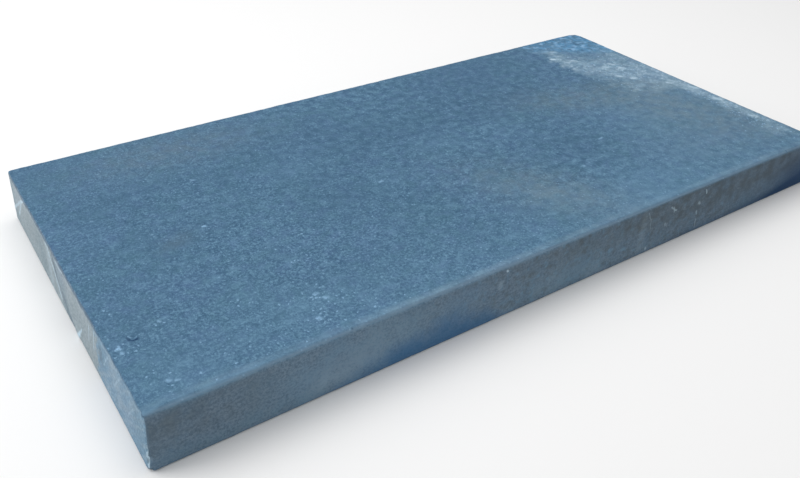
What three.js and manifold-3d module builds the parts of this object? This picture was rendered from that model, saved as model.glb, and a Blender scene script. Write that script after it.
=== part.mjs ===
// Limestone coping stone: one sawn slab that caps a low wall or edges a pool or a step.
// Millimetres. X runs along the wall, Y from the front face to the back, Z up from the bed.
// The origin is at the middle of the bed, the flat face that lies on the mortar.

import * as THREE from "three";
import { mergeVertices } from "three/addons/utils/BufferGeometryUtils.js";
import Module from "manifold-3d";

// The slab.
const LENGTH = 600;
const DEPTH = 300;
const THICKNESS = 42;

// How far each arris, the edge between two faces, is rubbed round.
const FRONT_TOP_ARRIS = 4.5;
const BACK_TOP_ARRIS = 2.5;
const END_TOP_ARRIS = 2;
const BED_ARRIS = 1.5;

// How far the four upright corners are rubbed round.
const FRONT_LEFT_CORNER = 2.5;
const FRONT_RIGHT_CORNER = 3;
const BACK_RIGHT_CORNER = 12;
const BACK_LEFT_CORNER = 3;

// Steps in each quarter round, and how far each section runs past the slab before the three are crossed.
const ARC_STEPS = 8;
const OVERRUN = 10;

const STONE_COLOUR = 0x577893;
const STONE_ROUGHNESS = 0.8;

const FRONT = -DEPTH / 2;
const LEFT = -LENGTH / 2;

// Places where the stone has lost a flake, each a lump taken out: where its middle is, and its half sizes.
// The first three are low on the front left upright corner, the fourth is in the front face, and the last is
// a pit near the left end of the top.
const CHIPS = [
  { at: [LEFT, FRONT, 0], size: [3.4, 3, 3.6] },
  { at: [LEFT, FRONT, 9], size: [2.9, 2.5, 3.8] },
  { at: [LEFT, FRONT, 16], size: [2.6, 2.3, 3.2] },
  { at: [LEFT + 250, FRONT - 0.6, THICKNESS - 6], size: [4, 1.6, 3] },
  { at: [LEFT + 17.5, FRONT + 62, THICKNESS + 1], size: [3.5, 2.5, 1.8] },
];

const wasm = await Module();
wasm.setup();

// A three.js geometry as a manifold-3d solid.
function solidFrom(geometry) {
  const bare = geometry.clone();
  bare.deleteAttribute("normal");
  bare.deleteAttribute("uv");
  const merged = mergeVertices(bare.index ? bare.toNonIndexed() : bare, 1e-4);
  const vertProperties = merged.attributes.position.array;
  const triVerts = new Uint32Array(merged.index.array);
  return new wasm.Manifold(new wasm.Mesh({ numProp: 3, vertProperties, triVerts }));
}

// A manifold-3d solid as a three.js geometry with flat-shaded faces.
function geometryFrom(solid) {
  const { vertProperties, triVerts } = solid.getMesh();
  const shared = new THREE.BufferGeometry();
  shared.setAttribute("position", new THREE.BufferAttribute(vertProperties, 3));
  shared.setIndex(new THREE.BufferAttribute(triVerts, 1));
  const flat = shared.toNonIndexed();
  flat.computeVertexNormals();
  return flat;
}

// A rectangle that stands on the x axis, centred on the y axis. Its corner radii are given anticlockwise
// from the lower left.
function easedRectangle(width, height, [lowerLeft, lowerRight, upperRight, upperLeft]) {
  const half = width / 2;
  const quarter = Math.PI / 2;
  const outline = new THREE.Shape();
  outline.moveTo(lowerLeft - half, 0);
  outline.absarc(half - lowerRight, lowerRight, lowerRight, -quarter, 0);
  outline.absarc(half - upperRight, height - upperRight, upperRight, 0, quarter);
  outline.absarc(upperLeft - half, height - upperLeft, upperLeft, quarter, 2 * quarter);
  outline.absarc(lowerLeft - half, lowerLeft, lowerLeft, 2 * quarter, 3 * quarter);
  return outline;
}

// A section of the slab drawn out past both of its ends. The basis says which way the outline's x and y
// and the length lie in the slab's own frame.
function drawnOut(outline, length, basis, start) {
  const geometry = new THREE.ExtrudeGeometry(outline, {
    depth: length + 2 * OVERRUN,
    bevelEnabled: false,
    curveSegments: ARC_STEPS,
  });
  geometry.applyMatrix4(new THREE.Matrix4().makeBasis(...basis));
  geometry.translate(...start);
  return solidFrom(geometry);
}

// The slab is what three sections have in common: the one across the wall, the one along it and the plan.
function sawnSlab() {
  const alongX = new THREE.Vector3(1, 0, 0);
  const alongY = new THREE.Vector3(0, 1, 0);
  const alongZ = new THREE.Vector3(0, 0, 1);
  const towardsFront = new THREE.Vector3(0, -1, 0);
  const across = easedRectangle(DEPTH, THICKNESS, [BED_ARRIS, BED_ARRIS, BACK_TOP_ARRIS, FRONT_TOP_ARRIS]);
  const along = easedRectangle(LENGTH, THICKNESS, [BED_ARRIS, BED_ARRIS, END_TOP_ARRIS, END_TOP_ARRIS]);
  const plan = easedRectangle(LENGTH, DEPTH, [
    FRONT_LEFT_CORNER,
    FRONT_RIGHT_CORNER,
    BACK_RIGHT_CORNER,
    BACK_LEFT_CORNER,
  ]);
  return drawnOut(across, LENGTH, [alongY, alongZ, alongX], [LEFT - OVERRUN, 0, 0])
    .intersect(drawnOut(along, DEPTH, [alongX, alongZ, towardsFront], [0, OVERRUN - FRONT, 0]))
    .intersect(drawnOut(plan, THICKNESS, [alongX, alongY, alongZ], [0, FRONT, -OVERRUN]));
}

// The lump that a chip takes out.
function lump({ at, size }) {
  const geometry = new THREE.IcosahedronGeometry(1, 1);
  geometry.scale(...size);
  geometry.translate(...at);
  return solidFrom(geometry);
}

const chipped = CHIPS.reduce((stone, chip) => stone.subtract(lump(chip)), sawnSlab());

const copingStone = new THREE.Mesh(
  geometryFrom(chipped),
  new THREE.MeshStandardMaterial({ color: STONE_COLOUR, roughness: STONE_ROUGHNESS, metalness: 0 }),
);
copingStone.name = "coping_stone";

const part = new THREE.Group();
part.name = "limestone_coping";
part.add(copingStone);

export default part;
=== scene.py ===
import math

import bpy
import numpy as np
from bpy.props import FloatProperty, FloatVectorProperty, IntProperty, PointerProperty
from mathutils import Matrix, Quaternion, Vector, noise


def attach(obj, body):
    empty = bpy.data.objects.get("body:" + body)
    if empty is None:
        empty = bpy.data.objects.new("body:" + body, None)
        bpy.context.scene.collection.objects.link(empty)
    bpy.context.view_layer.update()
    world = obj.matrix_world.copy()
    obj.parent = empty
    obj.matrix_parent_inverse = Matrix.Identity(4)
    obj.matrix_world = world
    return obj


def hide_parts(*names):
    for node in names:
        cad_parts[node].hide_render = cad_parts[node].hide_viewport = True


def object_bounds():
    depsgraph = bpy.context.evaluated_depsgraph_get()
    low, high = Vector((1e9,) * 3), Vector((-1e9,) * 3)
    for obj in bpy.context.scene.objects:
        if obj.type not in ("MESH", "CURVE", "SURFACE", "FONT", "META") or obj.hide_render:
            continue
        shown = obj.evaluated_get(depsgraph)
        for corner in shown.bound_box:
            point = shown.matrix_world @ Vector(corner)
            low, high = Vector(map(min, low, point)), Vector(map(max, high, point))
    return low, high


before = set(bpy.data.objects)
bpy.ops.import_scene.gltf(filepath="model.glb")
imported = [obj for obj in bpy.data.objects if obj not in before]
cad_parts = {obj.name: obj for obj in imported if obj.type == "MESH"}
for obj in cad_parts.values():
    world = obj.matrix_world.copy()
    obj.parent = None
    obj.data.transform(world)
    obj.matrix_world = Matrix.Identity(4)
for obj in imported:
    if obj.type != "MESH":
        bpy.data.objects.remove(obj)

bl_info = {
    "name": "Limestone Coping Stone",
    "version": (1, 0, 0),
    "blender": (4, 5, 0),
    "location": "3D View > Sidebar > Coping",
    "description": "Builds a sawn limestone coping stone with its finishes, and a pale stage to see it on",
    "category": "Object",
}

# The stone fills the CAD model's box. X runs along it from the left end, Y from the front face to the back,
# Z up from the bed.
LOW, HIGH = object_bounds()
SIZE = np.array(HIGH - LOW)
MM = 0.001

SIDES = ("top", "bed", "front", "back", "left", "right")


def linear(hex_colour):
    """The linear RGBA of an opaque sRGB colour written as RRGGBB."""
    shares = [int(hex_colour[i : i + 2], 16) / 255 for i in (0, 2, 4)]
    return (*(s / 12.92 if s <= 0.04045 else ((s + 0.055) / 1.055) ** 2.4 for s in shares), 1.0)


def colour(name, description, hex_colour):
    """A colour that the user may change."""
    start = linear(hex_colour)
    return FloatVectorProperty(
        name=name, description=description, subtype="COLOR", size=4, min=0, max=1, default=start
    )


def length(name, description, millimetres):
    """A length that the user may change."""
    return FloatProperty(
        name=name, description=description, unit="LENGTH", precision=4, min=0, default=millimetres * MM
    )


def angle(name, description, degrees):
    """An angle that the user may change."""
    return FloatProperty(name=name, description=description, subtype="ANGLE", default=math.radians(degrees))


class StoneShape(bpy.types.PropertyGroup):
    front_top_arris: length("Front top arris", "Radius of the edge between the top and the front", 4.5)
    back_top_arris: length("Back top arris", "Radius of the edge between the top and the back", 2.5)
    end_top_arris: length("End top arrises", "Radius of the edges between the top and the two ends", 2.0)
    bed_arris: length("Bed arrises", "Radius of the four edges round the bed", 1.5)
    front_left_corner: length("Front left corner", "Radius of that upright edge", 2.5)
    front_right_corner: length("Front right corner", "Radius of that upright edge", 3.0)
    back_left_corner: length("Back left corner", "Radius of that upright edge", 3.0)
    back_right_corner: length("Back right corner", "Radius of that upright edge", 12.0)
    lean: length("Left end lean", "How far the saw ran off square over the height of the left end", 2.7)
    texture_depth: length("Texture depth", "Depth of the blasted texture of the top", 0.3)
    margin_width: length("Margin width", "Width of the smooth margin behind the front arris", 7.5)
    saw_depth: length("Saw mark depth", "Depth of the marks that the saw left on the sides", 0.12)
    fine_step: length("Fine grid", "Grid spacing at the arrises and the larger marks", 0.8)
    coarse_step: length("Coarse grid", "Grid spacing on the open faces", 2.25)
    nicks: IntProperty(name="Nicks", description="Number of small losses along the arrises", default=90)
    pits: IntProperty(name="Pits", description="Number of shallow pits in the top", default=260)
    seed: IntProperty(name="Seed", description="Picks the set of random nicks and pits", default=7)


class StoneColours(bpy.types.PropertyGroup):
    # The top's colours are bluer than the sides': partly the stone's own colour, partly painted reflection
    # of a blue sky on the top.
    stone: colour("Stone", "Body colour of the textured top", "476D8A")
    deep: colour("Deep grain", "Darkest grains of the textured top", "345976")
    pale: colour("Pale grain", "Palest grains of the textured top", "6891AD")
    teal: colour("Green cast", "Patches where the blue leans to green", "426D7F")
    lilac: colour("Lilac cast", "Patches where the blue leans to violet", "54709A")
    dust: colour("Dust", "Dry, tan patches", "6E7D82")
    sawn: colour("Sawn stone", "Body colour of the sawn sides", "70869A")
    sawn_deep: colour("Sawn stone, dark", "Dark grains of the sawn sides", "4A6073")
    # Painted shade: the blue-dark shade along the bed of the front, and the darkest shade, at its right end
    # and in small hollows of the top.
    bed_shade: colour("Shade by the bed", "Blue-dark shade painted along the bed of the front", "22608E")
    darkest_shade: colour("Darkest shade", "The darkest painted shade", "00345A")
    # Painted sheen: the end's pale grey is the reflection of a clear film over it. The first of the three
    # colours below also tints the top's margin.
    slurry: colour("Dried slurry", "Grey skin left on the end by the saw's slurry", "84949C")
    pale_film_sheen: colour("Film sheen, thick", "The skin where it is thickest", "A3B0B8")
    thin_film_sheen: colour("Film sheen, thin", "The skin where the blue stone shows through", "6C90AB")
    lime: colour("Lime", "Lime that has come out of the stone and dried white", "BED8E8")
    lime_blue: colour("Blue lime", "Lime still damp, over blue stone", "5998C6")
    calcite: colour("Calcite", "Pale flecks of calcite in the stone", "9CC6EA")
    # Brown stone, and painted shade towards the right end of the front.
    brown_and_shade: colour("Brown stone and painted shade", "Stone gone brown where the iron in it has weathered", "434C50")


class StageSetup(bpy.types.PropertyGroup):
    floor: colour("Floor", "Colour of the floor", "F5F5F5")
    room_light: FloatProperty(
        name="Room light", description="Strength of the even light all round", default=0.51
    )
    key_light: FloatProperty(
        name="Key light", description="Power of the softbox at the back left", unit="POWER", default=14.7
    )
    top_light: FloatProperty(
        name="Top light", description="Power of the softbox overhead", unit="POWER", default=12.9
    )
    camera_place: FloatVectorProperty(
        name="Camera place",
        description="Where the camera is",
        subtype="TRANSLATION",
        unit="LENGTH",
        precision=4,
        default=(-0.35605, -0.45566, 0.35012),
    )
    camera_heading: angle("Camera heading", "How far it turns right from facing the front squarely", 35.19)
    camera_tilt: angle("Camera tilt", "How far it looks down", 34.237)
    camera_roll: angle("Camera roll", "How far it is turned about its own line of sight", 1.879)
    camera_lens: FloatProperty(
        name="Lens",
        description="Focal length on a sensor 36 mm wide",
        subtype="DISTANCE_CAMERA",
        default=36.084,
    )


# Mesh


def ticks(total, zones, fine, coarse):
    """Places of the grid lines along one side: fine steps inside the zones, coarse steps between them."""
    places = [0.0]
    while places[-1] < total - fine / 2:
        here = places[-1]
        places.append(here + (fine if any(low <= here < high for low, high in zones) else coarse))
    return np.array(places) * (total / places[-1])


def bed_cells(layer, border, every):
    """Wide cells for the middle of the bed. A cell at the rim takes in every vertex along it, so that the
    wide cells close up with the finer grid round them."""
    across, along = layer.shape
    columns = list(range(border, across - border, every)) + [across - 1 - border]
    rows = list(range(border, along - border, every)) + [along - 1 - border]
    columns, rows = sorted(set(columns)), sorted(set(rows))
    cells = []
    for left, right in zip(columns, columns[1:]):
        for near, far in zip(rows, rows[1:]):
            lower = range(left, right) if near == rows[0] else [left]
            east = range(near, far) if right == columns[-1] else [near]
            upper = range(right, left, -1) if far == rows[-1] else [right]
            west = range(far, near, -1) if left == columns[0] else [far]
            ring = [layer[i, near] for i in lower] + [layer[right, j] for j in east]
            ring += [layer[i, far] for i in upper] + [layer[left, j] for j in west]
            cells.append([int(v) for v in reversed(ring)])
    return cells


# Grid steps to one wide cell of the bed, which is flat and hidden.
BED_STEPS = 3


def slab_grid(zones, shape):
    """A block as one closed grid: its vertices, its faces and the side that each face belongs to."""
    lines = [ticks(SIZE[axis], zones[axis], shape.fine_step, shape.coarse_step) for axis in (0, 1)]
    lines.append(ticks(SIZE[2], zones[2], shape.fine_step, 1.5 * shape.fine_step))
    counts = [len(line) for line in lines]
    number = np.arange(math.prod(counts)).reshape(counts)
    layers = {
        "top": (number[:, :, -1], False),
        "bed": (number[:, :, 0], True),
        "front": (number[:, 0, :], False),
        "back": (number[:, -1, :], True),
        "left": (number[0, :, :], True),
        "right": (number[-1, :, :], False),
    }
    border = int(np.searchsorted(lines[0], zones[0][0][1])) + 1
    faces, sides = [], []
    for side, (layer, turned) in layers.items():
        quads = np.stack([layer[:-1, :-1], layer[1:, :-1], layer[1:, 1:], layer[:-1, 1:]], -1)
        keep = np.ones(quads.shape[:2], bool)
        if side == "bed":
            keep[border:-border, border:-border] = False
        quads = quads[keep]
        made = (quads[:, ::-1] if turned else quads).tolist()
        if side == "bed":
            made += bed_cells(layer, border, BED_STEPS)
        faces += made
        sides += [SIDES.index(side)] * len(made)
    used = np.unique(np.fromiter((v for face in faces for v in face), int))
    renumber = np.full(number.size, -1)
    renumber[used] = np.arange(len(used))
    faces = [renumber[face].tolist() for face in faces]
    places = np.stack(np.unravel_index(used, counts), -1)
    points = np.stack([lines[axis][places[:, axis]] for axis in range(3)], -1)
    return points, faces, sides


def wander(points, size, octaves=3, shift=0.0):
    """Smooth random values, mostly from -1 to 1, with lumps about as wide as size."""
    return np.array([noise.fractal(p, 1.0, 2.0, octaves) for p in (points / size + shift).tolist()])


def smooth_step(values, low, high):
    """0 at low and 1 at high, with an easy slope between. High may be the smaller of the two."""
    share = np.clip((values - low) / (high - low), 0, 1)
    return share * share * (3 - 2 * share)


# How much of the front arris's radius is left at its two ends.
END_SHARE = 0.5


def corner_radii(block, shape):
    """The plan radius of the nearest upright corner at each point. Towards the top it opens out to the
    radius of the arris there."""
    left, front = block[:, 0] < SIZE[0] / 2, block[:, 1] < SIZE[1] / 2
    front_corner = np.where(left, shape.front_left_corner, shape.front_right_corner)
    back_corner = np.where(left, shape.back_left_corner, shape.back_right_corner)
    low = np.where(front, front_corner, back_corner)
    high = np.maximum(low, np.where(front, END_SHARE * shape.front_top_arris, shape.back_top_arris))
    return low + (high - low) * smooth_step(SIZE[2] - block[:, 2], 2 * high, 0)


def ease(block, shape):
    """Rounds the block's upright corners in plan, then its top and bed arrises in section. Gives the new
    places and the way that each one faces."""
    uneven = 1 + 0.16 * wander(block, 30 * MM) + 0.1 * wander(block, 5 * MM, shift=9)
    corner = corner_radii(block, shape) * uneven
    plan, height = block[:, :2], block[:, 2]
    held = np.clip(plan, corner[:, None], SIZE[:2] - corner[:, None])
    out = plan - held
    reach = np.abs(out).max(1)
    way = out / np.maximum(np.linalg.norm(out, axis=1), 1e-9)[:, None]

    up = height > SIZE[2] / 2
    from_end = np.minimum(plan[:, 0], SIZE[0] - plan[:, 0])
    front_arris = shape.front_top_arris * (1 - (1 - END_SHARE) * smooth_step(from_end, 14 * MM, 2 * MM))
    long_arris = np.where(plan[:, 1] < SIZE[1] / 2, front_arris, shape.back_top_arris)
    top_arris = shape.end_top_arris * way[:, 0] ** 2 + long_arris * way[:, 1] ** 2
    radius = (np.where(up, np.maximum(top_arris, shape.bed_arris), shape.bed_arris) * uneven)[:, None]
    gaps = np.stack([corner - reach, np.where(up, SIZE[2] - height, height)], -1)
    middle = np.maximum(gaps, radius)
    turn = gaps - middle
    turn /= np.linalg.norm(turn, axis=1)[:, None]
    gaps = middle + turn * radius
    rounded = held + way * (corner - gaps[:, 0])[:, None]
    rounded = np.where(reach[:, None] > 0, rounded, plan)
    points = np.column_stack([rounded, np.where(up, SIZE[2] - gaps[:, 1], gaps[:, 1])])
    facing = np.column_stack([-way * turn[:, :1], np.where(up, -turn[:, 1], turn[:, 1])])
    return points, facing


def flake(points, facing, middle, half_size):
    """Takes a rounded lump out of the surface: points inside it sink to its far side. The lump's half size
    swells and shrinks by about a quarter, and never by as much as 0.6."""
    near = np.linalg.norm((points - middle) / half_size, axis=1) < 1.6
    if not near.any():
        return
    swell = 1 + 0.25 * wander(points[near], 2.5 * MM, 2, shift=float(middle[0] * 90))
    start = (points[near] - middle) / half_size / swell[:, None]
    way = -facing[near] / half_size / swell[:, None]
    a, b, c = (way * way).sum(1), (start * way).sum(1), (start * start).sum(1) - 1
    inside = c < 0
    travel = np.where(inside, (-b + np.sqrt(np.maximum(b * b - a * c, 0))) / a, 0)
    points[near] -= facing[near] * travel[:, None]


def segment_gap(flat, start, end):
    """Distance from each 2-D point to the line between two others."""
    start, run = np.array(start, float), np.subtract(end, start).astype(float)
    along = np.clip(((flat - start) @ run) / max(run @ run, 1e-12), 0, 1)
    return np.linalg.norm(flat - start - along[:, None] * run, axis=1)


def region_depth(flat, outline):
    """Signed distance from each 2-D point to a closed outline, positive inside."""
    inside = np.zeros(len(flat), bool)
    gap = np.full(len(flat), np.inf)
    for a, b in zip(outline, outline[1:] + outline[:1]):
        gap = np.minimum(gap, segment_gap(flat, a, b))
        if a[1] != b[1]:
            crosses = (a[1] > flat[:, 1]) != (b[1] > flat[:, 1])
            inside ^= crosses & (flat[:, 0] < (b[0] - a[0]) * (flat[:, 1] - a[1]) / (b[1] - a[1]) + a[0])
    return np.where(inside, gap, -gap)


# The marks on the stone. Places are in millimetres: on the top, from the left end and from the front; on
# the front, from the left end and up from the bed; on the left end, from the back and below the top.

# Broad patches, each an oval: its middle, its two half sizes, its strength and its turn in degrees, if any.
TOP_PATCHES = {
    "dust": [
        (118, 266, 72, 26, 0.75), (338, 60, 62, 28, 1, -57), (470, 172, 55, 24, 0.8, -20),
        (540, 120, 62, 34, 1, -62), (560, 155, 40, 16, 0.8, -25), (520, 60, 60, 50, 0.4),
        (570, 60, 30, 40, 0.45), (76, 142, 14, 8, 0.5, 20),
    ],
    "shade": [
        (76, 142, 14, 8, 0.8, 20), (80, 150, 35, 28, 0.6), (200, 130, 35, 22, 0.75, 15),
        (245, 102, 26, 18, 0.5), (410, 105, 30, 24, 0.9), (150, 50, 30, 16, 0.5), (260, 45, 28, 16, 0.5),
        (360, 205, 42, 24, 0.7), (260, 195, 40, 22, 0.5), (290, 205, 130, 70, 0.75),
        (120, 275, 60, 30, 0.45), (30, 275, 30, 30, 0.3), (40, 30, 30, 20, 0.25),
        (400, 272, 36, 30, 0.6), (425, 264, 66, 36, 1), (518, 182, 16, 24, 0.8), (45, 212, 40, 26, 0.6),
        (130, 205, 45, 24, 0.5), (215, 235, 50, 26, 0.5), (588, 282, 15, 15, 0.9),
        (560, 297, 70, 4, 0.9), (380, 0, 220, 2.5, 1), (400, 205, 50, 40, 0.3), (200, 180, 40, 50, 0.25),
        (447, 212, 20, 16, 0.4), (85, 5.5, 28, 2.5, 0.8), (445, 206, 26, 14, 0.4),
        (415, 145, 18, 10, 0.6), (65, 212, 45, 28, 0.3), (340, 105, 16, 10, 0.4), (555, 291, 32, 8, 0.8),
        (6, 292, 10, 10, 0.6), (2, 4, 6, 6, 0.8),
    ],
    "light": [
        (192, 192, 26, 18, 0.5), (240, 138, 16, 12, 0.5), (370, 160, 28, 18, 0.4),
        (322, 70, 28, 14, 0.7, -40), (342, 44, 24, 12, 0.6, -30), (60, 2, 110, 4, 0.6),
        (30, 1, 50, 2.5, 0.6), (535, 147, 16, 13, 1), (565, 68, 14, 14, 0.5), (92, 62, 14, 10, 0.5),
        (120, 35, 34, 12, 0.6), (25, 25, 26, 18, 0.35), (310, 165, 24, 16, 0.5), (405, 28, 48, 22, 0.7),
        (390, 7, 50, 5, 0.6), (480, 6, 80, 4, 0.3), (150, 7, 30, 3, 0.3), (505, 85, 52, 60, 1),
        (565, 120, 34, 60, 1), (500, 150, 30, 30, 0.3),
    ],
    "lilac": [
        (475, 125, 30, 26, 0.5), (515, 60, 22, 18, 0.5), (425, 268, 50, 28, 0.4), (508, 266, 10, 8, 0.7),
        (575, 166, 16, 10, 0.8),
    ],
    "crust": [
        (548, 212, 54, 20, 0.5, -66), (540, 158, 22, 12, 0.6, -35), (522, 238, 8, 18, 0.4),
        (590, 135, 12, 14, 0.4), (566, 206, 40, 32, 0.4, -40), (590, 195, 22, 46, 0.35),
        (586, 152, 20, 16, 0.35, -30), (536, 273, 12, 14, 0.35), (592, 92, 58, 10, 0.85, 90),
        (580, 34, 18, 12, 0.28, -20), (525, 245, 14, 26, 0.5), (592, 240, 12, 16, 0.5),
        (592, 180, 10, 16, 0.4),
    ],
    "specks": [
        (9, 56, 6, 6, 0.7), (24, 18, 7, 5, 0.6), (118, 20, 8, 6, 0.6), (129, 39, 8, 7, 0.6),
        (108, 44, 6, 4, 0.4), (37, 67, 5, 4, 0.35), (76, 60, 5, 4, 0.35), (86, 57, 5, 4, 0.3),
        (82, 37, 6, 5, 0.3), (14, 30, 8, 8, 0.3), (135, 80, 7, 6, 0.25), (152, 99, 7, 6, 0.3),
        (125, 97, 6, 6, 0.3), (10, 91, 5, 5, 0.3), (110, 12, 60, 6, 0.2), (235, 137, 5, 4, 0.4),
        (589, 92, 9, 52, 0.8), (583, 48, 12, 16, 0.6), (560, 200, 26, 34, 0.5),
    ],
    # Painted highlight along the front arris and its margin.
    "rubbed": [
        (205, 3.4, 80, 2.6, 1), (330, 5, 50, 4, 0.4), (500, 5, 60, 4, 0.5), (40, 6, 50, 4, 0.3),
    ],
}
FRONT_PATCHES = {
    # Dust; the ovals within about 10 mm of the bed are painted light, which lifts the floor's contact
    # shade.
    "dust": [
        (12, 24, 16, 26, 0.5), (60, 30, 18, 20, 0.4), (100, 24, 40, 18, 0.5), (300, 24, 60, 18, 0.4),
        (55, 4, 60, 7, 0.5), (152, 30, 30, 12, 0.4), (300, 9, 55, 10, 0.6), (115, 9, 24, 10, 0.6),
        (130, 20, 26, 8, 0.4), (170, 30, 60, 14, 0.3), (320, 26, 80, 12, 0.25), (395, 6, 28, 6, 0.5),
    ],
    # Brown tone at the left of the front; towards the right end and up by the arris, painted shade.
    "brown_and_shade": [
        (20, 24, 30, 24, 0.35), (62, 26, 20, 20, 0.3), (280, 34, 90, 12, 0.3), (14, 34, 16, 12, 0.3),
        (350, 36, 60, 10, 0.4), (450, 34, 90, 12, 0.9), (560, 34, 60, 14, 1), (430, 16, 110, 16, 0.3),
        (500, 38, 110, 6, 0.5), (220, 39, 40, 5, 0.3), (475, 22, 60, 12, 0.3),
    ],
    "shade": [
        (1, 32, 4, 16, 0.9), (50, 34, 60, 9, 0.2), (8, 31, 12, 11, 0.45), (470, 38, 50, 5, 0.3),
        (530, 36, 56, 10, 1), (20, 28, 30, 22, 0.25), (510, 20, 60, 40, 0.2), (590, 20, 50, 45, 0.7),
        (545, 33, 30, 14, 0.4), (460, 33, 20, 10, 0.35), (420, 24, 24, 14, 0.2),
    ],
    "light": [
        (125, 16, 40, 20, 1), (190, 26, 40, 14, 0.3), (150, 24, 24, 20, 0.4), (104, 20, 34, 18, 0.5),
        (214, 32, 22, 10, 0.35), (308, 9, 50, 11, 0.8), (55, 3, 60, 9, 0.7), (35, 41.5, 50, 2.5, 0.5),
    ],
    "lilac": [
        (125, 16, 36, 18, 0.8), (214, 32, 20, 10, 0.5),
    ],
    "rubbed": [
        (114, 9, 16, 8, 1), (132, 16, 24, 9, 0.5), (165, 29, 40, 10, 0.25), (288, 10, 14, 8, 0.6),
        (328, 6, 16, 6, 0.6), (390, 5, 24, 5, 0.5), (246, 5, 14, 5, 0.5),
    ],
    # Painted shade: the darkest, along the bed at the right of the front.
    "darkest_bed_shade": [
        (602, 9, 50, 25, 1), (580, 0, 58, 8, 1), (480, -3, 90, 6, 0.6),
    ],
}
END_PATCHES = {
    "dust": [
        (197, 35, 7, 8, 1), (45, 18, 30, 14, 0.4), (92, 24, 26, 22, 0.6),
    ],
    "shade": [
        (90, 24, 14, 20, 0.9), (290, 14, 10, 16, 0.6), (287, 27, 16, 16, 0.35), (226, 14, 7, 9, 1),
        (140, 22, 9, 24, 0.9, -30), (8, 24, 9, 24, 1), (30, 0, 40, 3.5, 1),
    ],
    "light": [
        (22, 16, 26, 9, 0.7, -32), (110, 20, 8, 24, 0.6), (20, 8, 30, 10, 0.2), (250, 10, 10, 12, 0.7),
        (268, 26, 20, 9, 0.4, -20), (228, 34, 8, 7, 0.6), (190, 7, 9, 8, 0.7),
    ],
    "lilac": [
        (141, 9, 12, 12, 0.8), (27, 12, 14, 5, 0.6, -35), (272, 26, 14, 8, 0.4),
    ],
}

# Round the lime on the top, and how high the painted shade along the bed stands on the front. Below 0 it
# stays under the bed.
TIDE_LINE = [
    (523, 330), (521, 283), (519, 250), (519, 220), (526, 192), (533, 168), (550, 146), (578, 134),
    (583, 100), (580, 60), (572, 42), (560, 28), (566, 15), (590, 8), (610, -10), (640, -10), (640, 330),
]
BED_SHADE_LINE = [
    (78, -20), (96, -6), (118, 2), (144, 7), (172, 15), (205, 19), (222, 13), (237, 5), (250, -2),
    (262, -7), (285, -12),
]

# Small marks: where each starts and ends, its half width at each of them, and its strength.
LIME_BLOBS = [
    (523, 254, 525, 253, 2, 1.8, 0.8), (537, 269, 540, 267, 2.2, 1.6, 0.35),
    (539, 241, 542, 238, 2, 1.6, 0.5), (556, 212, 558, 209, 2.2, 2.2, 0.35),
    (567, 215, 569, 212, 2.6, 2.2, 0.45), (569, 203, 571, 200, 2.4, 2.2, 0.45),
    (550, 188, 552, 186, 2, 1.8, 0.5), (559, 177, 562, 176, 2.4, 2, 0.6),
    (567, 177, 592, 201, 0.3, 0.3, 0.4), (581, 151, 583, 149, 2.2, 1.8, 0.4),
    (593, 133, 595, 128, 2.2, 2, 0.5), (591, 103, 593, 98, 2.6, 2, 0.5), (587, 62, 591, 58, 2, 2.4, 0.4),
]
CALCITE_SPOTS = [
    (8.8, 57.4, 9.8, 56.6, 0.98, 0.82, 0.81), (9.6, 53, 10, 52.2, 0.74, 0.66, 0.62),
    (36.4, 68, 37, 67.6, 0.82, 0.74, 0.5), (23, 18.8, 24.4, 18.2, 0.98, 0.82, 0.5),
    (27.6, 16.4, 28.6, 16.2, 0.9, 0.74, 0.56), (116.8, 21, 118, 20.2, 1.15, 0.9, 0.56),
    (126.4, 42.4, 128.2, 42.2, 1.07, 0.82, 0.44), (130, 36.4, 131.6, 35.6, 1.07, 0.82, 0.44),
    (235, 136.2, 237.4, 137, 0.9, 0.74, 0.5), (388, 73, 389.2, 73, 0.82, 0.66, 0.38),
    (434, 100, 437.6, 101, 0.98, 0.82, 0.44), (98.3, 149.3, 99.1, 148.9, 0.9, 0.8, 0.7),
    (35, 195.2, 35.6, 194.8, 1, 0.9, 0.4), (115.7, 212.9, 117.3, 212.3, 1.1, 0.8, 0.35),
]
# Painted shade in the hollow of the largest pit and in a scratch.
HOLLOW_SHADE = [
    (15.8, 64.2, 16.8, 61.8, 0.4, 0.9, 0.7), (16.8, 61.8, 18.6, 60.3, 0.9, 1.1, 1),
    (18.6, 60.3, 20.6, 59.9, 1.1, 0.9, 1), (20.6, 59.9, 21.8, 60.8, 0.9, 0.4, 0.7),
    (53.9, 188, 55.5, 181.1, 0.6, 0.9, 0.35),
]
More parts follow.
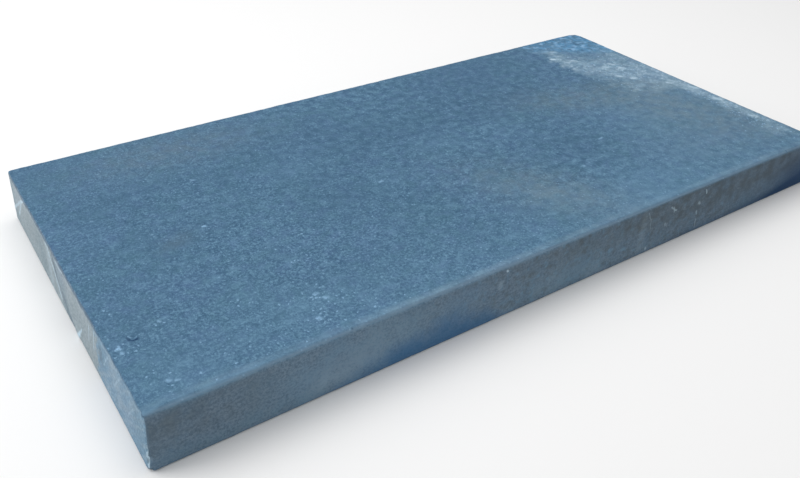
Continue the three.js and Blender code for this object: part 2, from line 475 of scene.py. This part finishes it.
# A painted highlight on the rim of that pit.
PIT_RIM_HIGHLIGHT = [
    (17, 64.8, 18, 63, 0.3, 0.45, 0.5), (18, 63, 20.2, 62.1, 0.45, 0.45, 0.7),
    (20.2, 62.1, 21.4, 62.4, 0.45, 0.3, 0.4),
]
FRONT_RUNS = [
    (247, 38.3, 249.5, 36, 0.8, 0.6, 0.65), (242.5, 30, 242, 27, 1.8, 1.6, 0.14),
    (384, 38, 387, 31, 0.5, 0.6, 0.16), (388, 31, 389.5, 22, 0.6, 0.4, 0.14),
    (389, 4.4, 389.3, 3.6, 0.9, 0.9, 0.4), (381, 36, 381, 8, 3, 3.5, 0.07),
    (410, 34.6, 414, 31, 0.5, 0.8, 0.38), (414, 31, 417, 29.6, 0.8, 0.5, 0.4),
    (413, 33.5, 414.5, 29, 0.5, 0.6, 0.3), (409, 20, 409, 17, 0.7, 0.5, 0.18),
    (449.4, 38, 451, 34, 0.5, 0.6, 0.5), (444, 27.6, 445.6, 26, 1.2, 0.9, 0.3),
    (443.6, 20, 444.8, 17, 0.8, 0.6, 0.32), (445.4, 12, 446.6, 4, 0.6, 0.5, 0.24),
    (406.5, 21, 407, 19, 0.8, 0.7, 0.22),
]
RAISED_FOLDS = [
    (54, -0.5, 37, 9, 0.7, 1.2, 0.8), (37, 9, 0, 33, 1.2, 1, 0.5), (37, 10, 19, 29, 1.2, 1.4, 0.5),
    (119, -1, 108, 5, 0.7, 1.8, 0.55), (111, 3, 121, 17, 1.4, 1.8, 0.6),
    (184, 24.8, 166, 44, 0.1, 2.3, 1),
]
# Painted highlights on the folds of the end's film.
END_FOLD_HIGHLIGHTS = RAISED_FOLDS + [
    (121, 17, 132, 33, 1.8, 2.2, 0.45), (110, 6, 109, 44, 3.5, 6, 0.15),
    (131, 6.6, 147, 5, 1.2, 0.9, 0.35), (203, 8, 199, 22, 1.2, 0.6, 0.4), (214, 6, 207, 26, 1, 0.6, 0.4),
    (240, 6, 228, 20, 0.8, 0.5, 0.22), (262, 4, 246, 22, 0.9, 0.6, 0.22),
    (284, 8, 270, 24, 0.8, 0.5, 0.18), (299.4, 22.6, 298.4, 29, 0.7, 1.2, 0.7),
    (298.6, 30, 299, 41, 1.1, 0.9, 0.8),
]
# Creases in the end's film, sunk into the surface and given painted shade.
SHADED_END_CREASES = [
    (121, 3, 127, 19, 1.1, 1.7, 0.9), (127, 19, 142, 31, 1.7, 1.8, 0.95),
    (142, 31, 158, 41, 1.8, 2, 0.8), (123, 6.5, 130, 24, 2.6, 3.2, 0.35),
    (130, 24, 146, 37, 3.2, 3.2, 0.35), (224, 12, 223, 20, 2, 2.8, 0.5),
]


def patch_strength(flat, ovals):
    """The strength of a kind of broad patch at each 2-D point, falling smoothly to nothing past its rim."""
    total = np.zeros(len(flat))
    for across, up, half_long, half_wide, strength, *turn in ovals:
        turn = math.radians(turn[0] if turn else 0)
        turned = (flat - (across, up)) @ np.array(
            [[math.cos(turn), -math.sin(turn)], [math.sin(turn), math.cos(turn)]]
        )
        total += strength * np.exp(-((turned / (half_long, half_wide)) ** 2).sum(1))
    return total


def stains(block, facing):
    """The broad marks at each point: shares from 0 to 1, and the lime and the painted shade along the
    bed of the front as distances in millimetres inside their lines."""
    from_left, from_front, height = (block / MM).T
    below_top = SIZE[2] / MM - height
    plan = np.stack([from_left, from_front], -1)
    face = np.stack([from_left, height], -1)
    end = np.stack([SIZE[1] / MM - from_front, below_top], -1)
    top, front, left = facing[:, 2] > 0.6, facing[:, 1] < -0.6, facing[:, 0] < -0.6
    marks = {kind: np.zeros(len(block)) for kind in (*TOP_PATCHES, "brown_and_shade", "darkest_bed_shade")}
    sides = ((plan, TOP_PATCHES, top), (face, FRONT_PATCHES, front), (end, END_PATCHES, left))
    for flat, kinds, here in sides:
        for kind, ovals in kinds.items():
            marks[kind] = np.where(here, np.clip(patch_strength(flat, ovals), 0, 1), marks[kind])

    # The top is lighter towards the front. Its lime is blue at the far right corner, and thinner there.
    marks["light"] += np.where(top, 0.45 * smooth_step(from_front, 75, 20), 0)
    marks["tide"] = np.where(top, region_depth(plan, TIDE_LINE), -50)
    # Painted shade along the bed of the front: how far inside its line each point lies.
    marks["bed_shade"] = np.interp(from_left, *np.transpose(BED_SHADE_LINE)) - height - from_front
    marks["blue"] = smooth_step(0.6 * from_left + from_front, 583, 603)
    marks["crust"] *= 1 - 0.75 * marks["blue"]

    # How blotchy the grain is, and how strong: blotchier and weaker to the right.
    top_blotch = 0.16 + 0.3 * smooth_step(from_left + 0.6 * from_front, 150, 520)
    front_blotch = 0.16 + 0.55 * smooth_step(from_left, 150, 280) - 0.45 * smooth_step(from_left, 440, 540)
    marks["blotch"] = np.where(top, top_blotch, np.where(facing[:, 1] < 0, front_blotch, 0.2))
    contrast = 1.0 - 0.2 * smooth_step(from_left, 330, 450) - 0.12 * smooth_step(from_front, 225, 265)
    contrast = np.maximum(contrast - 0.12 * smooth_step(from_left, 70, 30), 0.5)
    marks["contrast"] = np.where(top, contrast, 0.9 - 0.25 * smooth_step(from_left, 130, 260))

    # The rounded part of the front arris, the margin behind it, the end's film with its painted sheen, and
    # a painted highlight along the arrises.
    marks["rounded"] = np.where(top, smooth_step(from_front, 3.6, 1.0), 0)
    marks["margin"] = smooth_step(from_front, 9, 6.5)
    marks["sheen"] = smooth_step(end[:, 0] + 0.17 * below_top, 232, 206)
    marks["arris"] = smooth_step(np.sort(np.minimum(block, SIZE - block), axis=1)[:, 1] / MM, 3.0, 0.5)
    return marks


def closeness(flat, stroke):
    """How near each 2-D point is to a stroke: 1 on its line, falling to 0 at 2 mm outside its edge."""
    return smooth_step(segment_gap(flat, stroke[:2], stroke[2:4]), max(stroke[4:6]) + 2, 0)


def relief(points, facing, shape):
    """How far the surface lies inside the sawn block at each point."""
    from_front, height = points.T[1:]
    top, left = facing[:, 2] > 0.7, facing[:, 0] < -0.7
    grit = 0.5 + 0.35 * wander(points, 4.5 * MM, 3) + 0.2 * wander(points, 14 * MM, 2, shift=5)
    margin = smooth_step(from_front, shape.margin_width * 1.15, shape.margin_width * 0.85)
    texture = shape.texture_depth * np.clip(grit, 0, 1.4) * (1 - 0.8 * margin)
    sawn = shape.saw_depth * np.clip(0.5 + 0.4 * wander(points, 9 * MM, 3, shift=3), 0, 1.2)
    depth = np.where(top, texture, sawn)

    end = np.stack([SIZE[1] - from_front, SIZE[2] - height], -1) / MM
    raised = np.max([fold[6] * closeness(end, fold) for fold in RAISED_FOLDS], axis=0)
    sunk = np.max([closeness(end, crease) for crease in SHADED_END_CREASES], axis=0)
    return np.where(left, depth + (0.35 - 0.35 * raised + 0.45 * sunk) * MM, depth)


def nicks(rng, count):
    """Random small losses along the arrises: the middle and the half size of each."""
    found = []
    for _ in range(count):
        axis = rng.choice(3, p=(0.6, 0.3, 0.1))
        middle = np.where(rng.random(3) < 0.5, 0, SIZE)
        middle[axis] = rng.uniform(0, SIZE[axis])
        half = rng.uniform(0.5, 1.0, 3) * MM
        half[axis] *= 2
        if middle[2] > SIZE[2] / 2:
            half *= 0.6
        found.append((middle, half))
    return found


def pits(rng, count):
    """Random shallow pits in the textured top."""
    found = []
    for _ in range(count):
        middle = np.array([rng.uniform(0.01, SIZE[0] - 0.01), rng.uniform(0.012, SIZE[1] - 0.01), SIZE[2]])
        across = rng.uniform(1.6, 3.2)
        found.append((middle, np.array([across, across * rng.uniform(0.6, 1), 0.75]) * MM))
    return found


def known_losses():
    """The flakes missing from the front left corner and the front, and the pit near the top's left end."""
    top = SIZE[2] / MM
    marks = [
        ((0, 0, 0), (3.4, 3.0, 3.6)),
        ((0, 0, 9), (2.9, 2.5, 3.8)),
        ((0, 0, 16), (2.6, 2.3, 3.2)),
        ((250, -0.6, top - 6), (4.0, 1.6, 3.0)),
        ((17.5, 62, top + 1), (3.5, 2.5, 1.8)),
    ]
    return [(np.array(middle) * MM, np.array(half) * MM) for middle, half in marks]


def lay_out_finish(mesh, points, faces, sides):
    """A flat layout of the six sides for baking the finish, with most room for the top: where each side
    starts on the sheet, the two axes that lie along it, and its scale beside the top's."""
    sheet = 1 / SIZE[0]
    depth, strip = SIZE[1] * sheet, SIZE[2] * sheet
    gap = 0.006
    places = {
        "top": (0, 0, 0, 1, 1),
        "front": (0, depth + gap, 0, 2, 1),
        "back": (0, depth + strip + 2 * gap, 0, 2, 1),
        "left": (0, depth + 2 * strip + 3 * gap, 1, 2, 0.99),
        "right": (0.503, depth + 2 * strip + 3 * gap, 1, 2, 0.99),
        "bed": (0, depth + 3 * strip + 4 * gap, 0, 1, 0.48),
    }
    layer = mesh.uv_layers.new(name="OFBake")
    spots = []
    for face, side in zip(faces, sides):
        start, bottom, across, up, share = places[SIDES[side]]
        for v in face:
            spots += [start + points[v][across] * sheet * share, bottom + points[v][up] * sheet * share]
    layer.data.foreach_set("uv", spots)


def lean_end(points, shape):
    """Moves the left end in towards its top, where the saw ran off square, a little more at the front."""
    from_left, from_front, height = points.T
    share = (1 - 0.2 * from_front / SIZE[1]) * (height / SIZE[2]) * np.clip(1 - from_left / (30 * MM), 0, 1)
    points[:, 0] += (shape.lean + 0.4 * MM * (1 + wander(points, 9 * MM, shift=2))) * share


def build_stone(shape):
    """The whole stone as one closed mesh in the CAD model's frame."""
    rng = np.random.default_rng(shape.seed)

    # The grid is fine at the arrises and the far right corner, and across the largest pit and the chip in
    # the front.
    edge, wide_edge = 6 * MM, 13 * MM
    zones = [[(0, edge), (SIZE[axis] - edge, SIZE[axis])] for axis in range(3)]
    zones[0] += [(12 * MM, 23 * MM), (245 * MM, 255 * MM), (SIZE[0] - wide_edge, SIZE[0])]
    zones[1] += [(58 * MM, 66 * MM), (SIZE[1] - wide_edge, SIZE[1])]
    block, faces, sides = slab_grid(zones, shape)
    points, facing = ease(block, shape)
    points -= facing * relief(points, facing, shape)[:, None]
    for middle, half in known_losses() + nicks(rng, shape.nicks) + pits(rng, shape.pits):
        flake(points, facing, middle, half)
    lean_end(points, shape)
    mesh = bpy.data.meshes.new("coping_stone_surface")
    mesh.from_pydata((points + np.array(LOW)).tolist(), [], faces)
    mesh.polygons.foreach_set("material_index", sides)
    mesh.polygons.foreach_set("use_smooth", [True] * len(faces))
    for name, values in stains(block, facing).items():
        mesh.attributes.new(name, "FLOAT", "POINT").data.foreach_set("value", values.astype(np.float32))
    lay_out_finish(mesh, block.tolist(), faces, sides)
    mesh.update()
    mesh.validate()
    stone = bpy.data.objects.new("limestone_coping_stone", mesh)
    bpy.context.scene.collection.objects.link(stone)
    return stone


# Materials

# A MapRange node that eases in and out.
EASED = {"interpolation_type": "SMOOTHSTEP"}


def top_place(from_left, from_front):
    """A place on the top."""
    return Vector((LOW.x + from_left * MM, LOW.y + from_front * MM, HIGH.z))


def front_place(from_left, height):
    """A place on the front."""
    return Vector((LOW.x + from_left * MM, LOW.y, LOW.z + height * MM))


def end_place(from_back, below_top):
    """A place on the left end, as seen straight on, which leaves its X at 0."""
    return Vector((0, HIGH.y - from_back * MM, HIGH.z - below_top * MM))


class Finish:
    """A stone's material, built up layer by layer over its body colour. Its shader is dull, with the IOR of
    calcite, about 1.6."""

    def __init__(self, name, body):
        self.material = bpy.data.materials.new(name)
        self.material.use_nodes = True
        self.tree = self.material.node_tree
        self.shader = self.tree.nodes["Principled BSDF"]
        self.shader.inputs["IOR"].default_value = 1.6
        self.shader.inputs["Specular IOR Level"].default_value = 0.3
        self.place = self.add("TexCoord").outputs["Object"]
        self.colour = body
        self.marks = {}

    def add(self, kind, inputs=(), **settings):
        """Adds a node with its settings and links. Inputs go to its live sockets in order, or by name from
        a dict. Each is a value, a socket, a node, which gives its first live output, or the name of a mark
        that the mesh carries."""
        node = self.tree.nodes.new("ShaderNode" + kind)
        for name, value in settings.items():
            setattr(node, name, value)
        live = [socket for socket in node.inputs if socket.enabled]
        pairs = inputs.items() if isinstance(inputs, dict) else enumerate(inputs)
        for key, value in pairs:
            socket = node.inputs[key] if isinstance(key, str) else live[key]
            if isinstance(value, str):
                if value not in self.marks:
                    self.marks[value] = self.add("Attribute", attribute_name=value).outputs["Fac"]
                value = self.marks[value]
            if isinstance(value, bpy.types.Node):
                value = next(output for output in value.outputs if output.enabled)
            if isinstance(value, bpy.types.NodeSocket):
                self.tree.links.new(value, socket)
            else:
                socket.default_value = value
        return node

    def lay(self, above, *shares):
        """Lays one more colour over the rest, by the product of the shares."""
        total = shares[0]
        for share in shares[1:]:
            total = self.add("Math", (total, share), operation="MULTIPLY")
        self.colour = self.add("Mix", (total, self.colour, above), data_type="RGBA")

    def mottle(self, size, low, high, least, most, detail=3.0, roughness=0.5, place=None):
        """A random pattern with lumps about size millimetres wide. It is least where the noise is at or
        below low, and most where it is at or above high."""
        inputs = {"Scale": 1 / (size * MM), "Detail": detail, "Roughness": roughness}
        cloud = self.add("TexNoise", {"Vector": place or self.place, **inputs})
        return self.add("MapRange", (cloud, low, high, least, most), **EASED)

    def ragged(self, size, reach):
        """The place, pushed about by up to reach millimetres in lumps size millimetres wide."""
        cloud = self.add("TexNoise", {"Vector": self.place, "Scale": 1 / (size * MM), "Detail": 2.0})
        push = self.add("VectorMath", (cloud.outputs["Color"], (0.5, 0.5, 0.5)), operation="SUBTRACT")
        reach = (2 * reach * MM,) * 3
        return self.add("VectorMath", (push, reach, self.place), operation="MULTIPLY_ADD")

    def flecks(self, place, spacing, radius, kept):
        """Round flecks of that radius, scattered about spacing millimetres apart. Kept is the share of them
        that show."""
        cells = self.add("TexVoronoi", {"Vector": place, "Scale": 1 / (spacing * MM)})
        lot = self.add("SeparateColor", (cells.outputs["Color"],))
        drawn = self.add("Math", (lot, kept), operation="LESS_THAN")
        rim, core = radius / spacing, 0.35 * radius / spacing
        near = self.add("MapRange", (cells.outputs["Distance"], rim, core), **EASED)
        return self.add("Math", (near, drawn), operation="MULTIPLY")

    def strokes(self, place, found, where, soft):
        """Straight marks, each from one place to another, with its half width at each end and its strength.
        Soft is how much of the half width its edge takes to fade in."""
        total = None
        for across, up, across_end, up_end, near, far, strength in found:
            start, run = where(across, up), where(across_end, up_end) - where(across, up)
            near, far, edge = near * MM, far * MM, soft * max(near, far) * MM
            here = self.add("VectorMath", (place, start), operation="SUBTRACT")
            along = self.add("VectorMath", (here, run / run.length_squared), operation="DOT_PRODUCT")
            held = self.add("Clamp", (along,))
            nearest = self.add("VectorMath", {"Vector": run, "Scale": held}, operation="SCALE")
            gap = self.add("VectorMath", (here, nearest), operation="DISTANCE")
            gap = self.add("Math", (held, near - far, gap), operation="MULTIPLY_ADD")
            limits = (gap, near + 0.5 * edge, near - 0.5 * edge, 0.0, strength)
            share = self.add("MapRange", limits, **EASED)
            total = share if total is None else self.add("Math", (total, share), operation="MAXIMUM")
        return total

    def join(self, roughness, height, depth):
        """Joins the colour, the roughness and the relief, depth millimetres deep, to the shader."""
        bump = self.add("Bump", {"Height": height, "Distance": depth * MM, "Strength": 1.0})
        for name, node in (("Base Color", self.colour), ("Roughness", roughness), ("Normal", bump)):
            output = next(output for output in node.outputs if output.enabled)
            self.tree.links.new(output, self.shader.inputs[name])
        return self.material


def textured_top(colours):
    """Blue limestone blasted to an even grain of 1 to 2 mm. It looks matt and finely speckled, with dusty
    patches, a smooth margin along the front and a lime bloom at the far right corner."""
    top = Finish("Blue limestone, blasted top", colours.stone)
    near = top.ragged(2.2, 1.3)

    # Another stretch of the same noise, so that its patterns don't fall on the others.
    far = top.add("VectorMath", (top.place, (3.1, 1.7, 0.4)), operation="ADD")

    # Grain: lumps of 2 mm that break up into specks of under 1 mm, with blotches of 7 mm that take over
    # towards the far right, and a rubbed margin where both are weaker.
    speckled = {"Vector": top.place, "Scale": 1 / (2.2 * MM), "Detail": 3.0, "Roughness": 0.9}
    fine = top.add("TexNoise", speckled)
    coarse = top.add("TexNoise", {"Vector": top.place, "Scale": 1 / (7 * MM), "Detail": 3.0})
    grain = top.add("Mix", ("blotch", fine, coarse))
    rubbed = top.add("MapRange", ("margin", 0.0, 1.0, 1.0, 0.75))
    strength = top.add("Math", (rubbed, "contrast"), operation="MULTIPLY")
    top.lay(colours.deep, top.add("MapRange", (grain, 0.5, 0.41)), strength)
    top.lay(colours.pale, top.add("MapRange", (grain, 0.5, 0.62)), strength)

    # Casts of colour, some 45 mm wide and some 7 to 11 mm, then the margin and the broad patches.
    top.lay(colours.teal, top.mottle(45, 0.42, 0.7, 0, 0.28))
    top.lay(colours.lilac, top.mottle(45, 0.42, 0.7, 0, 0.12, place=far))
    top.lay(colours.deep, top.mottle(7, 0.5, 0.7, 0, 0.4, place=far), "contrast")
    top.lay(colours.pale, top.mottle(8, 0.5, 0.72, 0, 0.35), "contrast")
    top.lay(colours.teal, top.mottle(11, 0.45, 0.75, 0, 0.3, place=far))
    top.lay(colours.lilac, top.mottle(11, 0.45, 0.75, 0, 0.25))
    uneven = top.mottle(10, 0.3, 0.7, 0.4, 1.0, detail=4.0)
    top.lay(colours.slurry, "margin", uneven, 0.14)
    top.lay(colours.sawn, "rounded", 0.75)
    top.lay(colours.deep, "shade", uneven, 0.47)
    top.lay(colours.pale, "light", uneven, 0.38)
    top.lay(colours.lilac, "lilac", uneven, 0.25)
    top.lay(colours.dust, "dust", uneven, 0.42)
    # Painted highlight along the front arris.
    top.lay(colours.lime, "rubbed", uneven, 0.14)

    # Flecks of calcite, and painted shade of small pits, drawn 2 mm wide, coarser than the real ones, so
    # that they show.
    top.lay(colours.calcite, top.flecks(top.place, 7.0, 0.9, 0.5), 0.36)
    top.lay(colours.calcite, top.flecks(far, 3.1, 0.9, 0.4), strength, 0.24)
    top.lay(colours.calcite, top.flecks(near, 2.4, 1.05, "specks"), 0.5)
    top.lay(colours.deep, top.flecks(far, 7.0, 1.0, 0.5), 0.75)

    # Lime: a soft-edged bloom that clots into paler blobs, and damp and blue at the very corner.
    ragged_edge = top.mottle(12, 0.3, 0.7, -8, 8, detail=4.0)
    tide = top.add("Math", ("tide", ragged_edge), operation="ADD")
    cover = top.add("MapRange", (tide, -7.0, 8.0), **EASED)
    streaked = top.mottle(5, 0.36, 0.64, 0.15, 1.0, detail=4.0, roughness=0.6)
    top.lay(colours.lime_blue, cover, "blue", streaked, 0.55)
    top.lay(colours.calcite, cover, "blue", top.mottle(7, 0.48, 0.7, 0, 0.5, detail=4.0, place=far))
    top.lay(colours.lime, cover, top.mottle(9, 0.3, 0.7, 0.15, 0.4, detail=4.0, place=far), "crust")
    top.lay(colours.lime, cover, top.mottle(3.4, 0.48, 0.72, 0.0, 0.55, roughness=0.7, place=near), "crust")
    top.lay(colours.lime, top.strokes(near, LIME_BLOBS, top_place, 1.6))
    top.lay(colours.calcite, top.strokes(near, CALCITE_SPOTS, top_place, 2.4))
    # A painted highlight on the largest pit's rim, and painted shade in its hollow and in a scratch.
    top.lay(colours.calcite, top.strokes(top.place, PIT_RIM_HIGHLIGHT, top_place, 1.2))
    top.lay(colours.darkest_shade, top.strokes(top.place, HOLLOW_SHADE, top_place, 1.2))

    roughness = top.add("MapRange", (grain, 0.4, 0.6, 0.9, 0.78))
    height = top.add("Math", (grain, rubbed), operation="MULTIPLY")
    return top.join(roughness, height, 0.8)


def sawn_side(colours):
    """Blue limestone as a water-cooled diamond saw leaves it: flat and a little greyer, with faint
    straight marks, fine dark grain, painted shade along the bed and a few lime runs."""
    side = Finish("Blue limestone, diamond-sawn side", colours.sawn)

    # Grain with lumps of 1.7 mm. The saw marks are drawn 1.2 mm apart, coarser than the real ones.
    speckled = {"Vector": side.place, "Scale": 1 / (1.7 * MM), "Detail": 3.0, "Roughness": 0.85}
    rock = side.add("Mix", ("contrast", 0.5, side.add("TexNoise", speckled)))
    drawn_out = side.add("Mapping", {"Vector": side.place, "Scale": (0.15, 0.15, 1.0)})
    saw_marks = side.mottle(1.2, 0.25, 0.75, -0.035, 0.035, place=drawn_out)
    grain = side.add("Math", (rock, saw_marks), operation="ADD")
    side.lay(colours.sawn_deep, side.add("MapRange", (grain, 0.6, 0.36)))
    side.lay(colours.stone, side.mottle(38, 0.42, 0.72, 0, 0.4))
    side.lay(colours.brown_and_shade, side.mottle(6, 0.48, 0.7, 0, 0.8), "blotch")
    side.lay(colours.pale, side.mottle(5, 0.5, 0.75, 0, 0.9), "blotch")

    # The broad patches, with some of the grain over them.
    uneven = side.mottle(9, 0.3, 0.7, 0.4, 1.0, detail=4.0)
    side.lay(colours.sawn_deep, "shade", uneven, 0.75)
    # Brown patches, and painted shade towards the right end of the front.
    side.lay(colours.brown_and_shade, "brown_and_shade", uneven, 0.72)
    side.lay(colours.pale, "light", uneven, 0.6)
    side.lay(colours.lilac, "lilac", uneven, 0.3)
    side.lay(colours.dust, "dust", uneven, 0.3)
    side.lay(colours.lime, "rubbed", uneven, 0.16)
    side.lay(colours.sawn_deep, side.add("MapRange", (grain, 0.5, 0.4, 0.0, 0.18)))
    side.lay(colours.dust, side.add("MapRange", (grain, 0.5, 0.6, 0.0, 0.2)))

    # Painted shade along the bed: blue-dark low on the front, nearly navy where it is darkest.
    ragged_edge = side.mottle(14, 0.3, 0.7, -3.5, 3.5, detail=4.0)
    shade_reach = side.add("Math", ("bed_shade", ragged_edge), operation="ADD")
    bed_shade = side.add("MapRange", (shade_reach, -10.0, 11.0), **EASED)
    side.lay(colours.bed_shade, bed_shade, 0.75)
    side.lay(colours.darkest_shade, "darkest_bed_shade", 0.98)
    # Painted highlight along the arrises.
    side.lay(colours.pale, "arris", 0.15)
    side.lay(colours.lime, side.strokes(side.ragged(5.0, 1.0), FRONT_RUNS, front_place, 1.5))

    roughness = side.add("MapRange", (bed_shade, 0.0, 1.0, 0.82, 0.62))
    return side.join(roughness, grain, 0.2)


def film_sheen_end(colours):
    """Sawn limestone under a clear, smooth, folded film. Its pale grey sheen is painted in, with painted
    highlights on its folds and painted shade in its creases. The film thins out towards the front, where
    the stone shows blue through it."""
    end = Finish("Limestone, sawn end under a film with painted sheen", colours.thin_film_sheen)

    # Towards the front: thin film with streaks of painted sheen that slant down to the front.
    slanted = end.add("Mapping", {"Vector": end.place, "Rotation": (math.radians(38), 0, 0)})
    slanted = end.add("Mapping", {"Vector": slanted, "Scale": (1.0, 0.14, 1.0)})
    end.lay(colours.pale_film_sheen, end.mottle(3.2, 0.4, 0.7, 0, 0.32, place=slanted))
    end.lay(colours.stone, end.mottle(14, 0.5, 0.75, 0, 0.3))

    # The rest: thick film, with a paler painted sheen.
    ragged_edge = end.mottle(6, 0.3, 0.7, -0.3, 0.3)
    sheen = end.add("Math", ("sheen", ragged_edge), operation="ADD")
    sheen = end.add("MapRange", (sheen, 0.25, 0.75), **EASED)
    paler = end.mottle(16, 0.45, 0.7, 0, 0.4, detail=4.0)
    end.lay(end.add("Mix", (paler, colours.slurry, colours.pale_film_sheen), data_type="RGBA"), sheen)
    end.lay(colours.teal, "shade", 0.42)
    end.lay(colours.pale_film_sheen, "light", 0.45)
    end.lay(colours.lilac, "lilac", 0.25)
    end.lay(colours.dust, "dust", 0.4)

    # Painted highlights on the film's folds and painted shade in its creases, bare blue stone along the
    # top, darkened as painted shade of the arris, and a fine grain.
    near = end.add("VectorMath", (end.ragged(7.0, 0.9), (0.0, 1.0, 1.0)), operation="MULTIPLY")
    end.lay(colours.lime, end.strokes(near, END_FOLD_HIGHLIGHTS, end_place, 0.9))
    end.lay(colours.sawn_deep, end.strokes(near, SHADED_END_CREASES, end_place, 1.1))
    height = end.add("SeparateXYZ", (near,)).outputs["Z"]
    strip = end.add("MapRange", ("sheen", 0.0, 1.0, HIGH.z - 1.5 * MM, HIGH.z - 4.0 * MM))
    above = end.add("Math", (height, strip), operation="SUBTRACT")
    end.lay(colours.deep, end.add("MapRange", (above, -0.6 * MM, 0.9 * MM), **EASED), 0.85)
    speckled = {"Vector": end.place, "Scale": 1 / (2 * MM), "Detail": 3.0, "Roughness": 0.8}
    fine = end.add("TexNoise", speckled)
    end.lay(colours.sawn_deep, end.add("MapRange", (fine, 0.5, 0.36, 0.0, 0.4)))
    end.lay(colours.lime, end.add("MapRange", (fine, 0.5, 0.64, 0.0, 0.22)))

    roughness = end.add("MapRange", (sheen, 0.0, 1.0, 0.7, 0.55))
    return end.join(roughness, fine, 0.1)


def sawn_bed(colours):
    """The underside: sawn, dusty and plain, with the same grain as the sides."""
    bed = Finish("Blue limestone, sawn bed", colours.sawn)
    fine = bed.add("TexNoise", {"Vector": bed.place, "Scale": 1 / (2 * MM), "Detail": 3.0})
    bed.lay(colours.sawn_deep, bed.add("MapRange", (fine, 0.6, 0.35), **EASED))
    bed.lay(colours.dust, bed.mottle(50, 0.4, 0.75, 0, 0.45, detail=4.0))
    roughness = bed.add("MapRange", (fine, 0.35, 0.65, 0.9, 0.8))
    return bed.join(roughness, fine, 0.2)


class COPING_OT_build_stone(bpy.types.Operator):
    """Builds the coping stone in place of the CAD node, with a finish for each of its sides"""

    bl_idname = "coping.build_stone"
    bl_label = "Build the stone"

    def execute(self, context):
        stone = build_stone(context.scene.coping_shape)
        colours = context.scene.coping_colours
        side = sawn_side(colours)
        finishes = {
            "top": textured_top(colours),
            "bed": sawn_bed(colours),
            "front": side,
            "back": side,
            "left": film_sheen_end(colours),
            "right": side,
        }
        for name in SIDES:
            stone.data.materials.append(finishes[name])
        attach(stone, "root")
        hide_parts("coping_stone")
        return {"FINISHED"}


def softbox(name, place, size, power):
    """A square area light that faces the stone."""
    light = bpy.data.lights.new(name, "AREA")
    light.shape = "SQUARE"
    light.size = size
    light.energy = power
    lamp = bpy.data.objects.new(name, light)
    lamp.location = place
    lamp.rotation_mode = "QUATERNION"
    lamp.rotation_quaternion = (-Vector(place)).to_track_quat("-Z", "Y")
    bpy.context.scene.collection.objects.link(lamp)


class COPING_OT_build_stage(bpy.types.Operator):
    """Makes the pale floor, the soft lights and the camera"""

    bl_idname = "coping.build_stage"
    bl_label = "Build the stage"

    def execute(self, context):
        setup = context.scene.coping_stage
        scene = context.scene
        bpy.ops.mesh.primitive_plane_add(size=30, location=(0, 0, LOW.z - 0.1 * MM))
        floor = context.object
        floor.name = "floor"
        paint = bpy.data.materials.new("Matt white paint")
        paint.use_nodes = True
        shader = paint.node_tree.nodes["Principled BSDF"]
        shader.inputs["Base Color"].default_value = setup.floor
        shader.inputs["Roughness"].default_value = 0.9
        shader.inputs["Specular IOR Level"].default_value = 0.2
        floor.data.materials.append(paint)

        world = bpy.data.worlds.new("Soft room")
        world.use_nodes = True
        world.node_tree.nodes["Background"].inputs["Color"].default_value = (1, 1, 1, 1)
        world.node_tree.nodes["Background"].inputs["Strength"].default_value = setup.room_light
        scene.world = world
        softbox("Key softbox", (-1.3, 0.7, 1.2), 1.2, setup.key_light)
        softbox("Overhead softbox", (0.2, 0.3, 1.7), 1.6, setup.top_light)

        camera = bpy.data.objects.new("Camera", bpy.data.cameras.new("Camera"))
        camera.data.lens = setup.camera_lens
        camera.data.clip_start = 0.01
        camera.location = setup.camera_place
        heading, tilt = setup.camera_heading, setup.camera_tilt
        level = Vector((math.sin(heading), math.cos(heading), 0))
        forward = math.cos(tilt) * level - Vector((0, 0, math.sin(tilt)))
        roll = Quaternion((0, 0, 1), setup.camera_roll)
        camera.rotation_mode = "QUATERNION"
        camera.rotation_quaternion = forward.to_track_quat("-Z", "Y") @ roll
        scene.collection.objects.link(camera)
        scene.camera = camera
        scene.view_settings.view_transform = "Standard"
        return {"FINISHED"}


class COPING_PT_sidebar(bpy.types.Panel):
    """Sizes and colours of the coping stone, and the buttons that build it"""

    bl_label = "Coping stone"
    bl_idname = "COPING_PT_sidebar"
    bl_space_type = "VIEW_3D"
    bl_region_type = "UI"
    bl_category = "Coping"

    def draw(self, context):
        for group in (context.scene.coping_shape, context.scene.coping_colours, context.scene.coping_stage):
            column = self.layout.column()
            for name in group.__annotations__:
                column.prop(group, name)
        self.layout.operator(COPING_OT_build_stone.bl_idname)
        self.layout.operator(COPING_OT_build_stage.bl_idname)


CLASSES = (
    StoneShape,
    StoneColours,
    StageSetup,
    COPING_OT_build_stone,
    COPING_OT_build_stage,
    COPING_PT_sidebar,
)


def register():
    for cls in CLASSES:
        bpy.utils.register_class(cls)
    bpy.types.Scene.coping_shape = PointerProperty(type=StoneShape)
    bpy.types.Scene.coping_colours = PointerProperty(type=StoneColours)
    bpy.types.Scene.coping_stage = PointerProperty(type=StageSetup)


def unregister():
    del bpy.types.Scene.coping_stage
    del bpy.types.Scene.coping_colours
    del bpy.types.Scene.coping_shape
    for cls in reversed(CLASSES):
        bpy.utils.unregister_class(cls)


def main():
    register()
    bpy.ops.coping.build_stone()
    bpy.ops.coping.build_stage()


if __name__ == "__main__":
    main()
